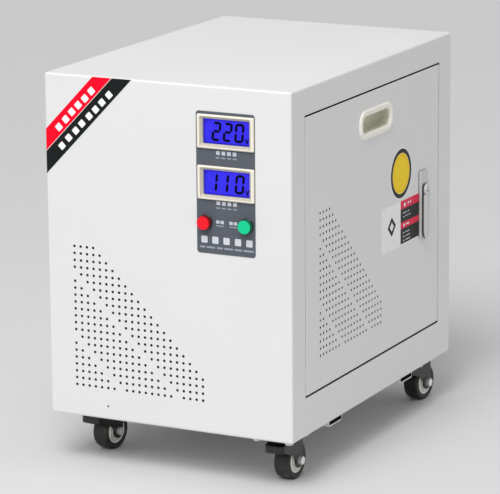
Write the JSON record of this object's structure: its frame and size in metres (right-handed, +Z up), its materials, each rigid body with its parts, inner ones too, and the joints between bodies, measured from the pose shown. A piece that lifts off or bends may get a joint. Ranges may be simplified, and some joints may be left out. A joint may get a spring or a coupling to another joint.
{
  "type": "step-down transformer",
  "caption": "Step-down transformer in a white steel cabinet on swivel casters, with voltage meters, indicator lamps, vent grilles and a locking side door.",
  "frame": {"origin": "centre of the bounding box in X and Y, on the floor under the wheels", "axes": "+Z up, front with the meters towards -Y, side door towards +X"},
  "size_m": [0.3586, 0.5124, 0.516],
  "materials": {
    "white_powder": "fine satin powder coat",
    "overlay_slate": "matt membrane",
    "bezel_cream": "fine matt moulding",
    "display_blue": "glossy lit display",
    "lens_red": "glossy translucent lens",
    "lens_green": "glossy translucent lens",
    "lamp_black": "satin moulding",
    "tape_red_black": "printed film in two bands",
    "film_yellow": "printed film",
    "film_block": "printed film in colour fields",
    "silicon_steel": "varnished laminations",
    "copper_winding": "varnished winding",
    "zinc_steel": "zinc plated",
    "board_brown": "phenolic board",
    "stud_brass": "turned brass",
    "lead_red": "sleeved copper lead",
    "cable_grey": "sheathed cable",
    "black_rubber": "soft moulded rubber",
    "caster_steel": "black coated pressed steel",
    "tyre_black": "moulded rubber tread",
    "rim_cream": "moulded nylon",
    "axle_chrome": "bright plated",
    "pull_ivory": "satin moulding",
    "lock_satin": "satin plated casting"
  },
  "bodies": {
    "cabinet": {"front_panel": "white_powder", "rear_panel": "white_powder", "top_panel": "white_powder", "left_panel": "white_powder", "right_frame": "white_powder", "base_panel": "white_powder", "front_base_rail": "white_powder", "rear_base_rail": "white_powder", "control_overlay": "overlay_slate", "upper_meter_housing": "bezel_cream", "upper_meter_display": "display_blue", "lower_meter_housing": "bezel_cream", "lower_meter_display": "display_blue", "red_lamp_lens": "lens_red", "red_lamp_body": "lamp_black", "green_lamp_lens": "lens_green", "green_lamp_body": "lamp_black", "lamp_nuts": "lamp_black", "corner_sticker": "tape_red_black", "core_laminations": "silicon_steel", "front_coil": "copper_winding", "rear_coil": "copper_winding", "clamp_angles": "zinc_steel", "core_bolts": "zinc_steel", "terminal_board": "board_brown", "terminal_studs": "stud_brass", "coil_leads": "lead_red", "meter_cable": "cable_grey", "rear_grommets": "black_rubber", "door_gasket": "black_rubber", "hinge_frame_leaves": "zinc_steel", "caster_plates": "caster_steel", "caster_bolts": "zinc_steel"},
    "door": {"right_door": "white_powder", "hinge_door_leaves": "zinc_steel", "hinge_pins": "zinc_steel", "pull_handle": "pull_ivory", "lock_housing": "lock_satin", "round_sticker": "film_yellow", "block_sticker": "film_block"},
    "lock": {"lock_spindle": "lock_satin", "lock_cam": "zinc_steel", "lever_pin": "zinc_steel"},
    "lever": {"lock_lever": "lock_satin"},
    "fl_swivel": {"fl_fork": "caster_steel", "fl_axle": "axle_chrome"},
    "fl_wheel": {"fl_tyre": "tyre_black", "fl_rim": "rim_cream"},
    "fr_swivel": {"fr_fork": "caster_steel", "fr_axle": "axle_chrome"},
    "fr_wheel": {"fr_tyre": "tyre_black", "fr_rim": "rim_cream"},
    "rl_swivel": {"rl_fork": "caster_steel", "rl_axle": "axle_chrome"},
    "rl_wheel": {"rl_tyre": "tyre_black", "rl_rim": "rim_cream"},
    "rr_swivel": {"rr_fork": "caster_steel", "rr_axle": "axle_chrome"},
    "rr_wheel": {"rr_tyre": "tyre_black", "rr_rim": "rim_cream"}
  },
  "joints": [
    {"name": "door_hinge", "type": "hinge", "parent": "cabinet", "child": "door", "pos_m": [0.1647, -0.19495, 0.2985], "axis": [0, 0, -1], "range_deg": [0, 110]},
    {"name": "lock_turn", "type": "hinge", "parent": "door", "child": "lock", "pos_m": [0.1707, 0.15605, 0.316], "axis": [-1, 0, 0], "range_deg": [0, 90]},
    {"name": "lever_tilt", "type": "hinge", "parent": "lock", "child": "lever", "pos_m": [0.1771, 0.15605, 0.312], "axis": [0, -1, 0], "range_deg": [0, 40]},
    {"name": "fl_swivel_turn", "type": "hinge", "parent": "cabinet", "child": "fl_swivel", "pos_m": [-0.1423, -0.18695, 0.053], "axis": [0, 0, 1], "continuous": true},
    {"name": "fl_wheel_spin", "type": "hinge", "parent": "fl_swivel", "child": "fl_wheel", "pos_m": [-0.13896, -0.16318, 0.025], "axis": [-0.9903, 0.1392, 0], "continuous": true},
    {"name": "fr_swivel_turn", "type": "hinge", "parent": "cabinet", "child": "fr_swivel", "pos_m": [0.1337, -0.20495, 0.053], "axis": [0, 0, 1], "continuous": true},
    {"name": "fr_wheel_spin", "type": "hinge", "parent": "fr_swivel", "child": "fr_wheel", "pos_m": [0.13454, -0.18096, 0.025], "axis": [-0.9994, 0.0349, 0], "continuous": true},
    {"name": "rl_swivel_turn", "type": "hinge", "parent": "cabinet", "child": "rl_swivel", "pos_m": [-0.1423, 0.20305, 0.053], "axis": [0, 0, 1], "continuous": true},
    {"name": "rl_wheel_spin", "type": "hinge", "parent": "rl_swivel", "child": "rl_wheel", "pos_m": [-0.14063, 0.22699, 0.025], "axis": [-0.9976, 0.0698, 0], "continuous": true},
    {"name": "rr_swivel_turn", "type": "hinge", "parent": "cabinet", "child": "rr_swivel", "pos_m": [0.1337, 0.20305, 0.053], "axis": [0, 0, 1], "continuous": true},
    {"name": "rr_wheel_spin", "type": "hinge", "parent": "rr_swivel", "child": "rr_wheel", "pos_m": [0.13621, 0.22692, 0.025], "axis": [-0.9945, 0.1045, 0], "continuous": true}
  ]
}
